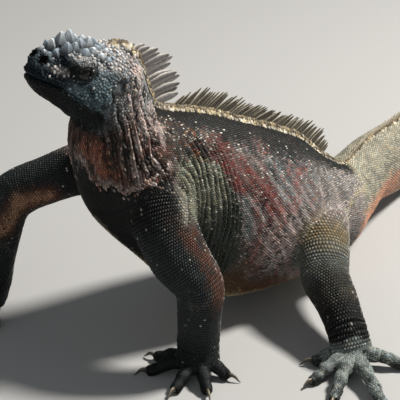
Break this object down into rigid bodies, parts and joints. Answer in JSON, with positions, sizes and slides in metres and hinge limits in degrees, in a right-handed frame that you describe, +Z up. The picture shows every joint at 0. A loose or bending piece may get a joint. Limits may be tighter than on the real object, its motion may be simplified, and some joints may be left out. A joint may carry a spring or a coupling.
{
  "type": "marine iguana",
  "caption": "Life-size still model of a marine iguana standing with its chest raised on straight forelegs, with a spiny crest and a long flattened tail.",
  "frame": {"origin": "middle of the bounding box, on the floor under the standing animal", "axes": "+Z up, the head points to -X and the tail to +X, the animal's left side faces -Y"},
  "size_m": [0.9648, 0.4862, 0.3158],
  "materials": {
    "head": "dark slate scaly skin with pale grey horny plates, slightly glossy",
    "neck": "folded brownish-red scaly skin with pale streaks",
    "torso": "scaly skin in black, brick red and olive grey, flecked with pale grains",
    "tail": "olive-yellow keeled scales in rings",
    "leg": "black and rust-red beaded scales with a soft sheen",
    "foot": "dark grey scaly skin",
    "eye": "dark brown glossy eye",
    "claw": "dark horn with ivory lights"
  },
  "bodies": {
    "root": {"head": "head", "eye_left": "eye", "eye_right": "eye", "neck": "neck", "torso": "torso", "tail_1": "tail", "tail_2": "tail", "tail_3": "tail", "tail_4": "tail", "left_upper_arm": "leg", "left_forearm": "leg", "left_forefoot": "foot", "left_thigh": "leg", "left_shin": "leg", "left_hindfoot": "foot", "left_forefoot_claw_1": "claw", "left_forefoot_claw_2": "claw", "left_forefoot_claw_3": "claw", "left_forefoot_claw_4": "claw", "left_forefoot_claw_5": "claw", "left_hindfoot_claw_1": "claw", "left_hindfoot_claw_2": "claw", "left_hindfoot_claw_3": "claw", "left_hindfoot_claw_4": "claw", "left_hindfoot_claw_5": "claw", "right_upper_arm": "leg", "right_forearm": "leg", "right_forefoot": "foot", "right_thigh": "leg", "right_shin": "leg", "right_hindfoot": "foot", "right_forefoot_claw_1": "claw", "right_forefoot_claw_2": "claw", "right_forefoot_claw_3": "claw", "right_forefoot_claw_4": "claw", "right_forefoot_claw_5": "claw", "right_hindfoot_claw_1": "claw", "right_hindfoot_claw_2": "claw", "right_hindfoot_claw_3": "claw", "right_hindfoot_claw_4": "claw", "right_hindfoot_claw_5": "claw"}
  },
  "joints": []
}
